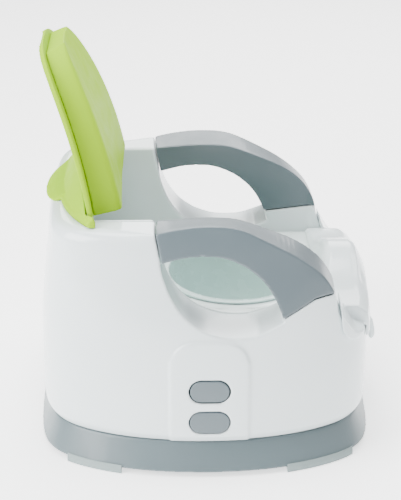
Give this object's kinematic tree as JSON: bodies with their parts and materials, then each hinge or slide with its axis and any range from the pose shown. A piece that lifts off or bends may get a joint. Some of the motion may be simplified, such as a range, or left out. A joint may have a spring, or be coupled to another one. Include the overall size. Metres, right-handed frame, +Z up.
{
  "type": "potty training chair",
  "caption": "Child's potty chair with a height-adjustable base, lift-out pot, splash guard, grip arms and a hinged lid.",
  "frame": {"origin": "on the floor, at the middle of the object's footprint", "axes": "+Z up, +X towards the front of the chair, +Y to the seated child's left"},
  "size_m": [0.3578, 0.3758, 0.4072],
  "materials": {
    "white_plastic": "glossy moulded white",
    "grey_plastic": "satin grey",
    "pad_rubber": "matt pale grey",
    "green_plastic": "glossy lime green",
    "steel": "zinc-plated"
  },
  "bodies": {
    "base": {"base_ring": "grey_plastic", "foot_pad_rear_left": "pad_rubber", "foot_pad_rear_right": "pad_rubber", "foot_pad_front_left": "pad_rubber", "foot_pad_front_right": "pad_rubber"},
    "button_left": {"height_button_left": "grey_plastic"},
    "button_right": {"height_button_right": "grey_plastic"},
    "body": {"body_shell": "white_plastic", "seat_insert": "white_plastic", "height_panel_left": "white_plastic", "height_panel_right": "white_plastic", "height_track_left": "white_plastic", "height_track_right": "white_plastic", "armrest_cap_left": "grey_plastic", "armrest_cap_right": "grey_plastic", "insert_screw_rear_left": "steel", "insert_screw_rear_right": "steel", "insert_screw_front_left": "steel", "insert_screw_front_right": "steel", "hinge_pin_left": "steel", "hinge_pin_right": "steel", "hinge_cover": "green_plastic"},
    "pot": {"pot": "white_plastic"},
    "guard": {"splash_guard": "white_plastic"},
    "lid": {"lid_cover": "green_plastic", "lid_liner": "green_plastic"}
  },
  "joints": [
    {"name": "height_adjust", "type": "slide", "parent": "base", "child": "body", "axis": [0, 0, 1], "range_m": [0, 0.034], "deforming": ["height_button_left", "height_button_right"]},
    {"name": "button_left_press", "type": "slide", "parent": "base", "child": "button_left", "axis": [0, -1, 0], "range_m": [0, 0.004], "stiffness_N_per_m": 500},
    {"name": "button_right_press", "type": "slide", "parent": "base", "child": "button_right", "axis": [0, 1, 0], "range_m": [0, 0.004], "stiffness_N_per_m": 500},
    {"name": "lid_hinge", "type": "hinge", "parent": "body", "child": "lid", "pos_m": [-0.1175, 0, 0.2525], "axis": [0, -1, 0], "range_deg": [-100, 0]},
    {"name": "pot_lift", "type": "slide", "parent": "body", "child": "pot", "axis": [0, 0, 1], "range_m": [0, 0.16]},
    {"name": "guard_lift", "type": "slide", "parent": "body", "child": "guard", "axis": [0, 0, 1], "range_m": [0, 0.1]}
  ]
}
